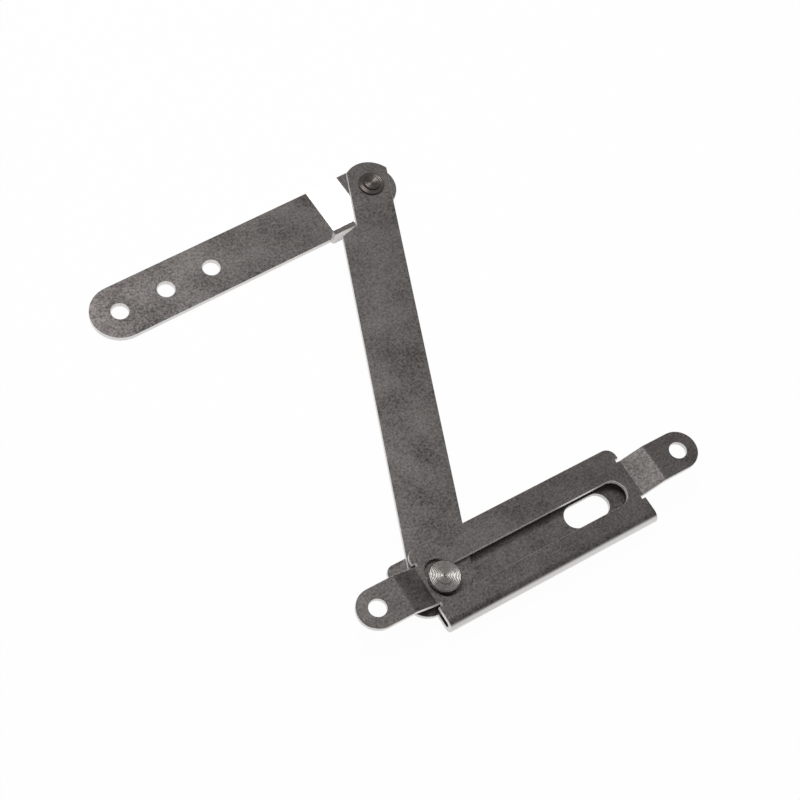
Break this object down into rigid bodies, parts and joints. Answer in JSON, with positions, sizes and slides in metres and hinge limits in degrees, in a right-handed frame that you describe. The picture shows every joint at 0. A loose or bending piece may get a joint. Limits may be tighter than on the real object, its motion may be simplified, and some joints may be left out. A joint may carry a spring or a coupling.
{
  "type": "lid stay",
  "caption": "Flat pressed-steel lid stay: a slotted folded guide, a swinging arm on a sliding stud, and a cranked lid bracket with a stop.",
  "frame": {"origin": "midway between the guide's two screw holes, on the face that meets the wall", "axes": "+X along the guide, +Y from its fold to its open edge, +Z towards the wall it screws to"},
  "size_m": [0.1283, 0.1385, 0.01],
  "materials": {
    "sheet_steel": "mottled grey pressed sheet",
    "turned_steel": "turned"
  },
  "bodies": {
    "guide": {"guide_housing": "sheet_steel"},
    "stud": {"slide_stud": "turned_steel"},
    "arm": {"stay_arm": "sheet_steel", "pivot_rivet": "turned_steel"},
    "bracket": {"lid_bracket": "sheet_steel"}
  },
  "joints": [
    {"name": "stud_slide", "type": "slide", "parent": "guide", "child": "stud", "axis": [1, 0, 0], "range_m": [0, 0.055]},
    {"name": "arm_swing", "type": "hinge", "parent": "stud", "child": "arm", "pos_m": [-0.0286, -0.0004, -0.00525], "axis": [0, 0, 1], "range_deg": [-68.5, 111.5]},
    {"name": "bracket_swing", "type": "hinge", "parent": "arm", "child": "bracket", "pos_m": [0.02072, 0.11689, -0.00685], "axis": [0, 0, 1], "range_deg": [-290, 0]}
  ]
}
